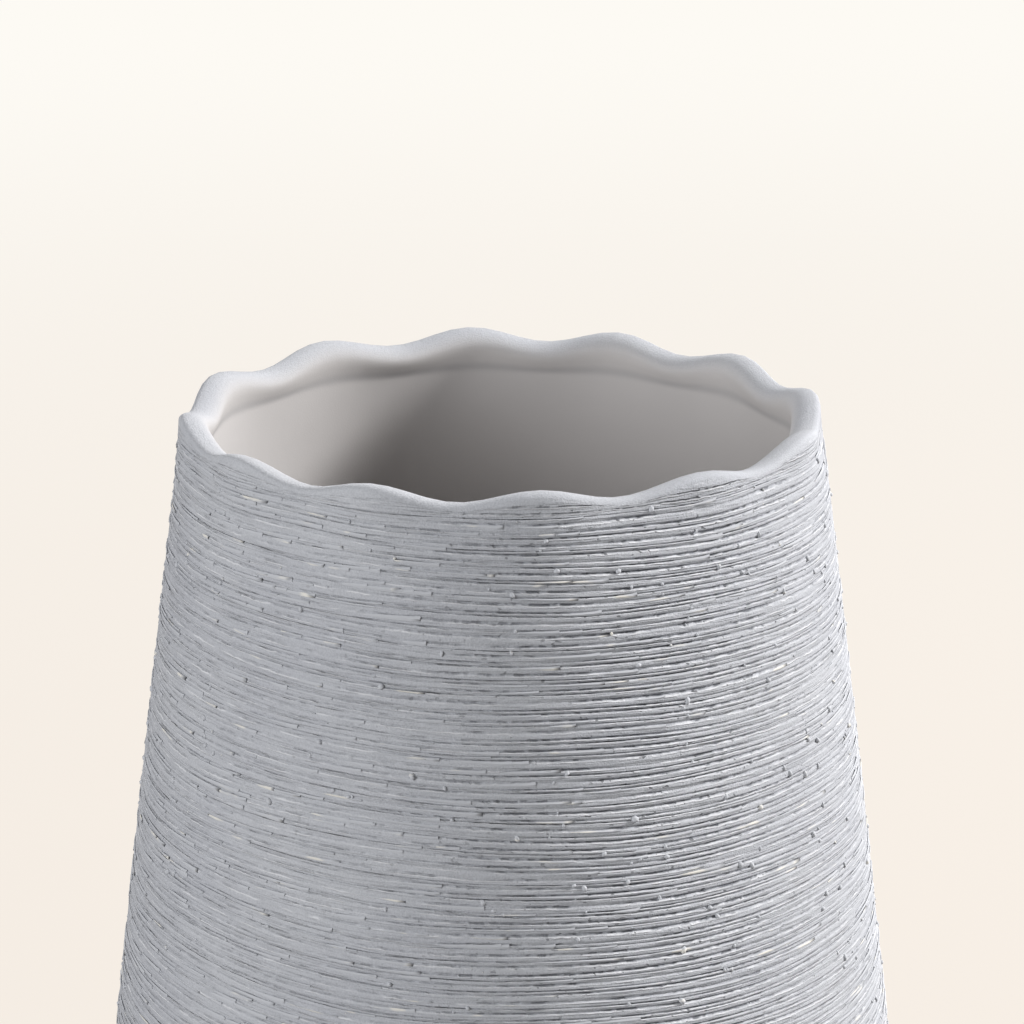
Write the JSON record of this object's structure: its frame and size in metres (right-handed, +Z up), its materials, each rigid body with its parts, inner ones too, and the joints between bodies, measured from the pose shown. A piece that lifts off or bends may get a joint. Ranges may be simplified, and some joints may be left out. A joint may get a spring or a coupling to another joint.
{
  "type": "ceramic vase",
  "caption": "Tapered matte grey ceramic flower vase with a wavy scalloped rim, a brushed outer wall, a rounded base and soft stick-on pads under its foot ring.",
  "frame": {"origin": "middle of the base, on the surface that the vase stands on", "axes": "+Z up along the vase's axis; -Y faces the viewer of the picture, +X to the viewer's right"},
  "size_m": [0.1408, 0.1408, 0.231],
  "materials": {
    "brushed_ceramic": "matte brushed slip outside, smooth matte inside",
    "soft_pad": "matte translucent silicone"
  },
  "bodies": {
    "root": {"vase_body": "brushed_ceramic", "foot_pad_1": "soft_pad", "foot_pad_2": "soft_pad", "foot_pad_3": "soft_pad", "foot_pad_4": "soft_pad"}
  },
  "joints": []
}
